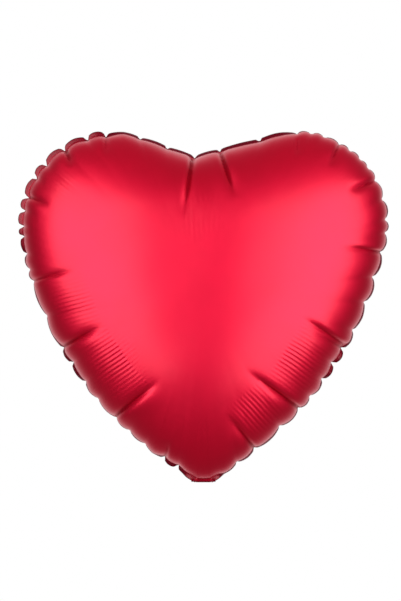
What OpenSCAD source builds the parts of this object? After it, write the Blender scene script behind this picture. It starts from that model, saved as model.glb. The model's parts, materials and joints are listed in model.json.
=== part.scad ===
// Heart-shaped foil balloon, inflated, with its tail folded up behind it.
// The front faces -Y and the heart stands upright along Z. The origin is the
// middle of the neck's lower edge, where a ribbon is tied.

/* [Heart] */
// Width of the heart across the cut edges of its two lobes
heart_w = 380; // [330:1:460]
// Depth of the inflated heart, front to back
heart_d = 165; // [130:1:200]
// Radius of each lobe at the cut edge
lobe_r = 95; // [78:1:115]
// Height of the lobes' centres above the neck
lobe_z = 264; // [215:1:320]
// Slope of the two straight edges that meet in the cleft, in degrees
cleft_slope = 17; // [10:1:24]
// Height of the fullest point above the neck
crown_z = 190; // [155:1:230]

/* [Film] */
// Thickness of each foil film, thicker than the real 0.03 so that it is a solid
film_t = 0.5; // [0.4:0.05:0.7]
// Width of the heat-sealed rim round the heart
seam_w = 5; // [3:0.5:7]

/* [Neck and tail] */
// Width of the neck and the tail, across their sealed edges
tail_w = 25; // [20:0.5:32]
// Width of the sealed edges of the neck and the tail
tail_seam_w = 3.5; // [2.5:0.5:4.5]
// Free space between the two films in the neck and the tail
neck_gap = 0.9; // [0.8:0.05:1.2]
// Height up to which the folded tail follows the back of the heart
tail_rise = 40; // [30:1:50]
// Length of the straight end of the tail
tab_l = 34; // [26:1:44]
// Distance that the tail stands off the back of the heart
tail_clear = 0.6; // [0.4:0.1:2]
// Diameter of the inflation hole in the tail's front ply
inlet_d = 8; // [6:0.5:10]

/* [Valve] */
// Thickness of each clear valve film
valve_t = 0.3; // [0.2:0.02:0.34]
// Width of the valve inside the heart
valve_w = 34; // [28:1:40]
// Height of the valve's free upper edge above the neck
valve_z = 95; // [75:1:120]
// Distance between the valve's outer end and the edge of the inflation hole
valve_end_gap = 3; // [1:0.5:5]

/* [Hidden] */

foil_red = "crimson";
film_clear = "lightgray";

// Outline of the cut edge
side_start = -14;        // angle on the lobe where the long side begins, in degrees
side_end_slope = 34.5;   // slope of the long side where it meets the neck, in degrees
side_reach_top = 108;    // how far the long side keeps the lobe's direction
side_reach_end = 128;    // how far the long side keeps the neck's direction
n_cleft = 4;             // points along each straight edge of the cleft
n_lobe = 18;             // points round each lobe
n_side = 20;             // points down each long side
lobe_x = heart_w / 2 - lobe_r;

// Dome of each panel: height falls from the crown to the seam as (1 - r^power)^root
rings = 9;
side_power = 2.4;
side_root = 0.5;
tip_power = 2;
tip_root = 0.62;
cleft_power = 2.9;
tip_focus = 4;           // how tightly the tip's profile keeps to the lower middle
cleft_focus = 12;        // the same for the cleft's profile

// Neck, fold and tail
neck_lip = 3;                            // height of the open lip at the neck's edge
half_gap = neck_gap / 2;
half_t = half_gap + film_t;              // half of the tail's whole thickness
into_film = half_gap + film_t / 2;       // depth of a seal, from the middle into the film
mouth_slope = 0.5;                       // run over which the film rises beside the mouth
neck_inner = tail_w / 2 - tail_seam_w;   // from the middle to the neck's sealed edges
mouth_edge = neck_inner - film_t - mouth_slope;
fold_clear = 0.3;
fold_z = -(half_t + fold_clear);         // height of the fold's axis
tail_steps = 8;                          // flats along the curved part of the tail
inlet_margin = 5;                        // between the hole and the tail's end seal
inlet_from_end = tail_seam_w + inlet_d / 2 + inlet_margin;

// Valve
valve_side_clear = 0.4;                  // between the valve and the sides of the mouth
valve_neck_w = 2 * (mouth_edge - valve_side_clear);
valve_neck_z = 10;                       // top of the stretch held in the neck
valve_flare_z = valve_neck_z + 22;       // where the lips reach their full width
valve_bend_clear = 0.4;                  // gap in each film where it bends
valve_end_r = 6;                         // rounding of the lips' free corners

// ---------- outline ----------

function bezier(a, b, c, d, u) =
    pow(1 - u, 3) * a + 3 * u * pow(1 - u, 2) * b + 3 * u * u * (1 - u) * c + pow(u, 3) * d;

lobe_centre = [lobe_x, lobe_z];
cleft_tangent = lobe_centre + lobe_r * [-sin(cleft_slope), cos(cleft_slope)];
cleft = [0, cleft_tangent.y - cleft_tangent.x * tan(cleft_slope)];
side_top = lobe_centre + lobe_r * [cos(side_start), sin(side_start)];
neck_corner = [tail_w / 2, 0];

cleft_edge = [for (i = [0 : n_cleft - 1]) cleft + (cleft_tangent - cleft) * i / n_cleft];
lobe_edge = [
    for (i = [0 : n_lobe - 1])
        let (a = 90 + cleft_slope + (side_start - 90 - cleft_slope) * i / n_lobe)
            lobe_centre + lobe_r * [cos(a), sin(a)]
];
side_edge = [
    for (i = [0 : n_side])
        bezier(
            side_top,
            side_top + side_reach_top * [sin(side_start), -cos(side_start)],
            neck_corner + side_reach_end * [cos(side_end_slope), sin(side_end_slope)],
            neck_corner,
            i / n_side
        )
];
right_edge = concat(cleft_edge, lobe_edge, side_edge);
mouth_points = [for (x = [mouth_edge, 0, -mouth_edge]) [x, 0]];
left_edge = [for (i = [len(right_edge) - 1 : -1 : 1]) [-right_edge[i].x, right_edge[i].y]];

// The cut edge, once round from the cleft, and which of its points lie in the neck's mouth
cut_edge = concat(right_edge, mouth_points, left_edge);
n_edge = len(cut_edge);
function in_mouth(i) = i >= len(right_edge) && i < len(right_edge) + len(mouth_points);
function at_neck(i) = i >= len(right_edge) - 1 && i <= len(right_edge) + len(mouth_points);

// The direction inwards from a point of the cut edge
function inward(i) =
    let (
        before = cut_edge[(i + n_edge - 1) % n_edge],
        after = cut_edge[(i + 1) % n_edge],
        along = (after - before) / norm(after - before)
    )
    [along.y, -along.x];

// The inner edge of the seal, moved a further d inwards; at the neck it is the top of the lip
function seal_edge(i, d) =
    at_neck(i)
        ? [sign(cut_edge[i].x) * min(abs(cut_edge[i].x), neck_inner - d), neck_lip]
        : cut_edge[i] + (seam_w + d) * inward(i);

// ---------- panels ----------

crown = [0, crown_z];

// How much direction v, seen from the crown, points at the tip and at the cleft, from 0 to 1
function tip_share(v) = pow((1 - v.y / norm(v)) / 2, tip_focus);
function cleft_share(v) = pow((1 + v.y / norm(v)) / 2, cleft_focus);

// Height of the dome at share r of the way from the crown to the seal, from 1 down to 0
function lift(r, v) =
    let (
        tip = tip_share(v),
        power = side_power + (tip_power - side_power) * tip
            + (cleft_power - side_power) * cleft_share(v),
        root = side_root + (tip_root - side_root) * tip
    )
    pow(max(0, 1 - pow(r, power)), root);

// One ring of a dome: the seal's inner edge, moved in by d, drawn in to share r, and lifted
dome_h = heart_d / 2 - film_t;
function dome_ring(d, r, base) = [
    for (i = [0 : n_edge - 1])
        let (
            v = seal_edge(i, d) - crown,
            at = crown + r * v,
            least = in_mouth(i) ? half_gap : 0
        )
        [at.x, base + max(dome_h * lift(r, v), least), at.y]
];
function edge_ring(base) = [
    for (i = [0 : n_edge - 1])
        [cut_edge[i].x, base + (in_mouth(i) ? half_gap : 0), cut_edge[i].y]
];
function ring_share(j) = sin(90 * j / rings);

// A panel: its outer dome, the sealed rim, and its inner dome, as a closed skin
module panel() {
    skin = concat(
        [for (j = [1 : rings]) dome_ring(0, ring_share(j), film_t)],
        [edge_ring(film_t), edge_ring(0)],
        [for (j = [rings : -1 : 1]) dome_ring(film_t, ring_share(j), 0)]
    );
    n_rings = len(skin);
    points = concat(
        [[0, dome_h + film_t, crown_z]],
        [for (ring = skin) each ring],
        [[0, dome_h, crown_z]]
    );
    last = len(points) - 1;
    first_ring_fan = [
        for (i = [0 : n_edge - 1]) [0, 1 + i, 1 + (i + 1) % n_edge]
    ];
    bands = [
        for (k = [0 : n_rings - 2], i = [0 : n_edge - 1])
            let (
                a = 1 + k * n_edge + i,
                b = 1 + k * n_edge + (i + 1) % n_edge
            )
            each [[a, a + n_edge, b], [b, a + n_edge, b + n_edge]]
    ];
    last_ring_fan = [
        for (i = [0 : n_edge - 1])
            [last, last - n_edge + (i + 1) % n_edge, last - n_edge + i]
    ];
    polyhedron(points, concat(first_ring_fan, bands, last_ring_fan));
}

module front_panel() {
    color(foil_red)
        mirror([0, 1, 0])
            panel();
}

module rear_panel() {
    color(foil_red)
        panel();
}

// ---------- tail ----------

// The heart's back above the neck, as [y, z], and the direction in which it faces
tip_line = [0, neck_lip - crown_z];
function back_at(z) =
    let (r = (crown_z - z) / (crown_z - neck_lip))
    [film_t + max(dome_h * lift(r, tip_line), half_gap), z];
function back_facing(z) =
    let (
        step = 0.5,
        along = back_at(z + step) - back_at(max(neck_lip, z - step))
    )
    [along.y, -along.x] / norm(along);

// Middle line of the folded tail: out of the fold, up, along the heart's back, then straight
fold_point = [0, fold_z];
stand_off = half_t + tail_clear;
curve_start_z = neck_lip + 1;
curve_points = [
    for (k = [0 : tail_steps])
        let (z = curve_start_z + (tail_rise - curve_start_z) * k / tail_steps)
            back_at(z) + stand_off * back_facing(z)
];
curve_end = curve_points[tail_steps];
tab_direction = let (n = back_facing(tail_rise)) [-n.y, n.x];
fold_out = fold_point + [2 * half_t + 2 * fold_clear, 0];
tail_line = concat([fold_point, fold_out], curve_points, [curve_end + tab_l * tab_direction]);
n_tail = len(tail_line);

// A middle line moved sideways by s, with mitred corners; positive s is away from the heart
function step_normal(line, i) =
    let (along = (line[i + 1] - line[i]) / norm(line[i + 1] - line[i]))
    [along.y, -along.x];
function moved_line(line, s) = [
    for (i = [0 : len(line) - 1])
        let (
            before = step_normal(line, max(i - 1, 0)),
            after = step_normal(line, min(i, len(line) - 2)),
            middle = (before + after) / norm(before + after)
        )
        line[i] + middle * s / (middle * before)
];
function reversed(list) = [for (i = [len(list) - 1 : -1 : 0]) list[i]];

// A strip of film between offsets s0 and s1 of a middle line, w wide across X
module strip(line, s0, s1, w) {
    rotate([90, 0, 90])
        linear_extrude(height = w, center = true)
            polygon(concat(moved_line(line, s0), reversed(moved_line(line, s1))));
}

// One ply: side -1 lies against the heart, 1 faces away. Its sealed edges meet the other ply's
module tail_ply(side) {
    tail_end = tail_line[n_tail - 1];
    end_seal = [tail_end - tail_seam_w * tab_direction, tail_end];
    edge_x = (tail_w - tail_seam_w) / 2;
    strip(tail_line, side * half_gap, side * half_t, tail_w);
    for (x = [-edge_x, edge_x])
        translate([x, 0, 0])
            strip(tail_line, 0, side * into_film, tail_seam_w);
    strip(end_seal, 0, side * into_film, tail_w);
}

// One ply's half of the rounded fold, and of the pressed stretch beside it
module fold_half(side) {
    first_step = [tail_line[0], tail_line[1]];
    translate([0, 0, fold_z])
        rotate([0, 90, 0])
            intersection() {
                cylinder(h = tail_w, r = half_t, center = true, $fn = 48);
                translate([side * 2 * half_t, 0, 0])
                    cube([4 * half_t, 4 * half_t, 2 * tail_w], center = true);
            }
    strip(first_step, 0, side * into_film, tail_w);
}

module inlet_hole() {
    tail_end = tail_line[n_tail - 1];
    at = tail_end - inlet_from_end * tab_direction;
    facing = atan2(tab_direction.x, tab_direction.y);
    translate([0, at.x, at.y])
        rotate([-facing, 0, 0])
            rotate([-90, 0, 0])
                cylinder(h = 2 * half_t, d = inlet_d, $fn = 64);
}

module tail_front_ply() {
    color(foil_red)
        difference() {
            union() {
                tail_ply(1);
                fold_half(1);
            }
            inlet_hole();
        }
}

module tail_rear_ply() {
    color(foil_red)
        union() {
            tail_ply(-1);
            fold_half(-1);
        }
}

// ---------- valve ----------

// Distance of a valve film's outer and inner faces from the middle: it lies on the foil
film_out = half_gap;
film_in = half_gap - valve_t;

// A flat film with outline points [x, z], on side -1 (front) or 1 (rear)
module flat_film(side, points) {
    translate([0, side * (film_in + film_out) / 2, 0])
        rotate([90, 0, 0])
            linear_extrude(height = valve_t, center = true)
                polygon(points);
}

module neck_film(side) {
    x = valve_neck_w / 2;
    color(film_clear)
        flat_film(side, [[-x, 0], [x, 0], [x, valve_neck_z], [-x, valve_neck_z]]);
}

// A lip: it starts at the neck's width, flares, and ends in rounded corners
module lip(side) {
    x0 = valve_neck_w / 2;
    x1 = valve_w / 2;
    start_z = valve_neck_z + valve_bend_clear;
    corner = [
        for (a = [0 : 15 : 90])
            [x1 - valve_end_r + valve_end_r * cos(a), valve_z - valve_end_r + valve_end_r * sin(a)]
    ];
    right = concat([[x0, start_z], [x1, valve_flare_z]], corner);
    color(film_clear)
        flat_film(side, concat(right, [for (p = reversed(right)) [-p.x, p.y]]));
}

// The stretch of film inside the tail, from the start of its curve almost to the hole
module tail_film(side) {
    tab_part = tab_l - inlet_from_end - inlet_d / 2 - valve_end_gap;
    line = concat(curve_points, [curve_end + tab_part * tab_direction]);
    color(film_clear)
        strip(line, side * film_in, side * film_out, valve_neck_w);
}

front_panel();
rear_panel();
tail_front_ply();
tail_rear_ply();
neck_film(-1);  // valve_front_neck_film
neck_film(1);  // valve_rear_neck_film
lip(-1);  // valve_front_lip
lip(1);  // valve_rear_lip
tail_film(1);  // valve_front_tail_film
tail_film(-1);  // valve_rear_tail_film
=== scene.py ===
"""Looks of an inflated heart-shaped foil balloon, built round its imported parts.

The heart is two films of satin red foil, sealed to each other round the rim. Each film is a
membrane that bulges from the seal to the crown. The rim is too long for the heart once it is
full, so it gathers into notches, and the film runs into creases and fine ripples behind them.
Lengths are in metres: +Z is up, +X is to the right, and the front faces -Y.
"""

import json
import logging
import math
from collections.abc import Sequence
from dataclasses import dataclass, field
from enum import Enum

import bpy
import numpy as np
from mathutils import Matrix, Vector


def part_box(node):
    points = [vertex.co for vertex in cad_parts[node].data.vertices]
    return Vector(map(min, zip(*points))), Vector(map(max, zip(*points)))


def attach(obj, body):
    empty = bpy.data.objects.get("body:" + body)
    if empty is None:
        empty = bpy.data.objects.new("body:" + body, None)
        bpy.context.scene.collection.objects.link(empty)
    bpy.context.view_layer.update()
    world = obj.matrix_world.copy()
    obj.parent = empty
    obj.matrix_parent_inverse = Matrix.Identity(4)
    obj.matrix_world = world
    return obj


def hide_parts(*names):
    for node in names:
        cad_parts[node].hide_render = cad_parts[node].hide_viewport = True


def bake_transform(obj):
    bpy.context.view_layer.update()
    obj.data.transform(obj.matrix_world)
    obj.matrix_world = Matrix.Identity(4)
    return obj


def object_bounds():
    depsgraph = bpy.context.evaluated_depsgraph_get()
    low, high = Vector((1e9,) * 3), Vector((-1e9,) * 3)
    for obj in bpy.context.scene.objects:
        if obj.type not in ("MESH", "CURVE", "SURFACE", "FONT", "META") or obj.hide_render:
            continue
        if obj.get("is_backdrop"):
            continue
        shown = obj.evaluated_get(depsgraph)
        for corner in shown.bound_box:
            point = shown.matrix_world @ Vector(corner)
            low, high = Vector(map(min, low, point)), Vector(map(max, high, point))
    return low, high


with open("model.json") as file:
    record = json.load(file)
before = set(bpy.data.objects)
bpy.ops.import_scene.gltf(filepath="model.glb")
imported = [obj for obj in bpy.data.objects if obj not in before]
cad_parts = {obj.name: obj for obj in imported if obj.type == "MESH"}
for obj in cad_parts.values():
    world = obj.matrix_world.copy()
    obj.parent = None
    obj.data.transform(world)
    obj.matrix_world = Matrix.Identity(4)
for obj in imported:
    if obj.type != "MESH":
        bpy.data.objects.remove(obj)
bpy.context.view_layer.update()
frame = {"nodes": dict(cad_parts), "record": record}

log = logging.getLogger("balloon")

Array = np.ndarray
Point = tuple[float, float]

SEAL_AT_NECK = 0.0035  # the sealed edge's width down each side of the neck
NECK_LIP = 0.0018  # how far the neck's unsealed mouth reaches above the fold
MM_IN_A_METRE = 1000


# ---------------------------------------------------------------- small numeric helpers


def smooth_step(values: Array) -> Array:
    """Eases 0 to 1 with no slope at either end."""
    t = np.clip(values, 0.0, 1.0)
    return t * t * (3.0 - 2.0 * t)


def rounded(values: Array, radius: float) -> Array:
    """The absolute value, with its corner at zero rounded off."""
    return np.sqrt(values * values + radius * radius) - radius


def between(before: Array, start: Array, end: Array, after: Array, t: Array) -> Array:
    """A smooth curve's values at share t of the way from start to end.

    Args:
        before: Values one step before start.
        start: Values at t = 0.
        end: Values at t = 1.
        after: Values one step after end.
        t: Shares from 0 to 1.

    Returns:
        The interpolated values.
    """
    slope_start = 0.5 * (end - before)
    slope_end = 0.5 * (after - start)
    square, cube = t * t, t * t * t
    return (
        (2 * cube - 3 * square + 1) * start
        + (cube - 2 * square + t) * slope_start
        + (3 * square - 2 * cube) * end
        + (cube - square) * slope_end
    )


def along(points: Array) -> Array:
    """The distance of each point of a line from its first."""
    steps = np.linalg.norm(np.diff(points, axis=0), axis=1)
    return np.concatenate([[0.0], np.cumsum(steps)])


def resampled(points: Array, count: int) -> Array:
    """A line's points, spaced evenly.

    Args:
        points: The line's points.
        count: How many equal steps the new line has.

    Returns:
        count + 1 points, the first and last of which are the line's own.
    """
    reach = along(points)
    targets = np.linspace(0.0, reach[-1], count + 1)
    return np.stack([np.interp(targets, reach, axis) for axis in points.T], axis=1)


# ---------------------------------------------------------------- outline of the heart


@dataclass(frozen=True)
class Outline:
    """The heart's cut edge, seen from the front, as [x, z]."""

    width: float
    neck_width: float
    lobe_radius: float = 0.095
    lobe_height: float = 0.264
    cleft_slope: float = 17.0
    side_start: float = -14.0
    side_end_slope: float = 34.5
    side_reach_top: float = 0.108
    side_reach_end: float = 0.128
    side_samples: int = 400
    lobe_samples: int = 300
    neck_steps: int = 8
    half_steps: int = 372
    fine_below: float = 0.33
    fine_ease: float = 0.05
    coarse_share: float = 0.7
    cleft_shift: float = -0.009
    cleft_span: float = 0.045

    def right_half(self) -> Array:
        """The right half from the neck's corner, up the side and round the lobe, to the cleft.

        Returns:
            Its points, as [x, z].
        """
        centre = np.array([self.width / 2 - self.lobe_radius, self.lobe_height])
        start, slope, end = np.radians([self.side_start, self.cleft_slope, self.side_end_slope])
        top = centre + self.lobe_radius * np.array([math.cos(start), math.sin(start)])
        corner = np.array([self.neck_width / 2, 0.0])
        high = top + self.side_reach_top * np.array([math.sin(start), -math.cos(start)])
        low = corner + self.side_reach_end * np.array([math.cos(end), math.sin(end)])
        t = np.linspace(0.0, 1.0, self.side_samples)[:, None]
        side = (
            (1 - t) ** 3 * corner
            + 3 * (1 - t) ** 2 * t * low
            + 3 * (1 - t) * t**2 * high
            + t**3 * top
        )
        turn = np.linspace(start, math.pi / 2 + slope, self.lobe_samples)[1:, None]
        lobe = centre + self.lobe_radius * np.hstack([np.cos(turn), np.sin(turn)])
        cleft = np.array([[0.0, lobe[-1, 1] - lobe[-1, 0] * math.tan(slope)]])
        return np.vstack([side, lobe, cleft])

    def loop(self) -> Array:
        """The whole edge, once round from the neck's middle by way of the right side.

        Returns:
            Its points, as [x, z].
        """
        neck = np.linspace(0.0, self.neck_width / 2, self.neck_steps + 1)[:-1]
        neck_part = np.stack([neck, np.zeros_like(neck)], axis=1)
        side_part = self.spaced(self.right_half(), self.half_steps - self.neck_steps)
        right = np.vstack([neck_part, side_part])
        left = right[-2:0:-1] * [-1.0, 1.0]
        loop = np.vstack([right, left])
        from_cleft = along(right)[-1] - along(right)
        from_cleft = np.concatenate([from_cleft, from_cleft[-2:0:-1]])
        loop[:, 0] += self.cleft_shift * np.exp(-((from_cleft / self.cleft_span) ** 2))
        return loop

    def spaced(self, points: Array, count: int) -> Array:
        """A line's points, closer together along the lower side, where the film ripples.

        Args:
            points: The line's points.
            count: How many steps the new line has.

        Returns:
            count + 1 points.
        """
        fine = resampled(points, 4 * count)
        reach = along(fine)
        coarse = smooth_step((reach - self.fine_below) / self.fine_ease)
        density = 1 - (1 - self.coarse_share) * coarse
        steps = np.concatenate([[0.0], np.cumsum((density[1:] + density[:-1]) * np.diff(reach))])
        targets = np.linspace(0.0, steps[-1], count + 1)
        return np.stack([np.interp(targets, steps, axis) for axis in fine.T], axis=1)

    def outward(self, loop: Array) -> Array:
        """The direction away from the heart at each point of the loop.

        Args:
            loop: The edge's points.

        Returns:
            A unit vector for each, as [x, z].
        """
        steps = np.roll(loop, -2, axis=0) - np.roll(loop, 2, axis=0)
        steps /= np.linalg.norm(steps, axis=1)[:, None]
        return np.stack([steps[:, 1], -steps[:, 0]], axis=1)


# ---------------------------------------------------------------- membrane


@dataclass(frozen=True)
class Membrane:
    """The smooth bulge of a film held along the seal, solved as a stretched skin under pressure."""

    seal: Array
    crown: Array
    rays: int = 190
    rings: int = 20
    fullness: float = 2.5

    def turned(self) -> Array:
        """How far round the crown each of the seal's points lies, in radians."""
        off = self.seal - self.crown
        return np.unwrap(np.arctan2(off[:, 0], -off[:, 1]))

    def edge(self) -> Array:
        """The seal's places on evenly turned rays from the crown.

        Returns:
            One place for each ray, as [x, z].
        """
        turned = self.turned()
        even = turned[0] + np.linspace(0.0, 2 * math.pi, self.rays, endpoint=False)
        far = np.linalg.norm(self.seal - self.crown, axis=1)
        far = np.interp(even, turned, far, period=2 * math.pi)
        return self.crown + far[:, None] * np.stack([np.sin(even), -np.cos(even)], axis=1)

    def skin(self) -> Array:
        """Solves the skin's equation on triangles between the crown and the seal.

        Returns:
            Square roots of the heights, from 0 at the seal to 1, as [ring, ray]. Ring 0 is
            the crown.
        """
        edge, n = self.edge(), self.rays
        shares = np.sin(np.linspace(0.0, math.pi / 2, self.rings + 1))[1:]
        rings = self.crown + shares[:, None, None] * (edge - self.crown)
        places = np.vstack([self.crown[None], rings.reshape(-1, 2)])
        column = np.arange(n)
        beside = (column + 1) % n
        corners = [np.stack([np.zeros(n, int), 1 + column, 1 + beside], axis=1)]
        for ring in range(self.rings - 1):
            inner, outer = 1 + ring * n, 1 + (ring + 1) * n
            corners.append(np.stack([inner + column, outer + column, outer + beside], axis=1))
            corners.append(np.stack([inner + column, outer + beside, inner + beside], axis=1))
        triangles = np.vstack(corners)
        at = places[triangles]
        across = np.roll(at, -1, axis=1) - np.roll(at, -2, axis=1)
        area = 0.5 * np.abs(np.cross(at[:, 1] - at[:, 0], at[:, 2] - at[:, 0]))
        stiffness = np.zeros((len(places), len(places)))
        load = np.zeros(len(places))
        for i in range(3):
            np.add.at(load, triangles[:, i], area / 3)
            for j in range(3):
                pull = (across[:, i] * across[:, j]).sum(axis=1) / (4 * area)
                np.add.at(stiffness, (triangles[:, i], triangles[:, j]), pull)
        free = len(places) - n
        height = np.zeros(len(places))
        height[:free] = np.linalg.solve(stiffness[:free, :free], load[:free])
        root = np.sqrt(height / height.max())
        return np.vstack([np.full((1, n), root[0]), root[1:].reshape(-1, n)])

    def lift(self, turns: Array) -> Array:
        """The bulge on a finer grid.

        Args:
            turns: Places between the crown, 0, and the seal, 1, whose sine is the share of the
                way in plan.

        Returns:
            Heights from 0 to 1, as [turn, column], with every column of the seal.
        """
        coarse = self.skin()
        turned = self.turned()
        ray = (turned - turned[0]) / (2 * math.pi) * self.rays
        first = np.floor(ray).astype(int)
        near = [coarse[:, (first + k) % self.rays] for k in (-1, 0, 1, 2)]
        fine = between(*near, ray - first)
        across_crown = np.roll(fine[1:2], fine.shape[1] // 2, axis=1)
        padded = np.vstack([across_crown, fine, -fine[-2:-1], -fine[-3:-2]])
        place = np.clip(turns, 0.0, 1.0) * self.rings
        ring = np.minimum(place.astype(int), self.rings - 1)
        t = (place - ring)[:, None]
        root = between(*(padded[ring + k] for k in range(4)), t)
        root = np.clip(root, 0.0, 1.0)
        return np.sqrt(1.0 - (1.0 - root**2) ** (self.fullness / 2))


# ---------------------------------------------------------------- rim, creases and ripples


@dataclass(frozen=True)
class Stretch:
    """A stretch of the rim whose gathers are alike, between two distances from the neck.

    tuck says how far the sealed edge is turned back: 0 stands out flat and 1 lies behind.
    """

    start: float
    end: float
    pitch: float
    depth: float
    tuck: float


@dataclass(frozen=True)
class Bay:
    """The puff of film and the tab of sealed edge between two notches of the rim."""

    start: float
    gap: float
    depth: float
    lean: float

    @property
    def centre(self) -> float:
        """The middle of the bay, as a distance from the neck."""
        return self.start + self.gap / 2


@dataclass(frozen=True)
class Crease:
    """A sharp valley that runs in from the rim, and fades."""

    rim: Point
    tip: Point
    depth: float = 0.0024
    spread: float = 0.0042
    lean: float = 1.6
    core: float = 0.0007
    spread_at_rim: float = 0.72
    widening: float = 0.45
    swell_share: float = 0.3
    swell_spread: float = 3.4
    widest_at: float = 1.2
    fade_from: float = 0.4
    fade_ease: float = 0.75
    starts_before: float = 0.5
    start_ease: float = 0.55

    def press(self, x: Array, z: Array) -> Array:
        """How deep the crease presses the film in at places in the plan view.

        Args:
            x: Places across.
            z: Places up.

        Returns:
            Depths, negative where the film swells beside the crease.
        """
        run = Vector(self.tip) - Vector(self.rim)
        length = run.length
        way = run / length
        over = (x - self.rim[0]) * way.x + (z - self.rim[1]) * way.y
        off = (x - self.rim[0]) * -way.y + (z - self.rim[1]) * way.x
        share = over / length
        widened = self.widening * np.clip(share, 0.0, self.widest_at)
        spread = self.spread * (self.spread_at_rim + widened)
        side = np.where(off > 0, spread * self.lean, spread / self.lean)
        valley = np.exp(-rounded(off, self.core) / side)
        swell = self.swell_share * np.exp(-((off / (self.swell_spread * spread)) ** 2))
        fade = 1 - smooth_step((share - self.fade_from) / self.fade_ease)
        fade = fade * smooth_step((share + self.starts_before) / self.start_ease)
        return self.depth * fade * (valley - swell)


@dataclass(frozen=True)
class Ripples:
    """A patch of fine parallel ripples beside a crease."""

    centre: Point
    way: Point
    half_length: float = 0.022
    half_width: float = 0.026
    pitch: float = 0.0042
    height: float = 0.00017
    fanning: float = 1.2
    sway: float = 0.0006
    sway_length: float = 0.009
    beat_length: float = 0.0071
    beat: float = 0.25
    beat_start: float = 1.3

    def swell(self, x: Array, z: Array) -> Array:
        """The ripples' height at places in the plan view.

        Args:
            x: Places across.
            z: Places up.

        Returns:
            Heights.
        """
        way = Vector(self.way).normalized()
        over = (x - self.centre[0]) * way.x + (z - self.centre[1]) * way.y
        off = (x - self.centre[0]) * -way.y + (z - self.centre[1]) * way.x
        off = off * (1 + self.fanning * over) + self.sway * np.sin(over / self.sway_length)
        inside = np.exp(-((over / self.half_length) ** 4) - (off / self.half_width) ** 4)
        uneven = 1 - self.beat + self.beat * np.sin(off / self.beat_length + self.beat_start)
        return self.height * inside * uneven * np.cos(2 * math.pi * off / self.pitch)


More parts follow.
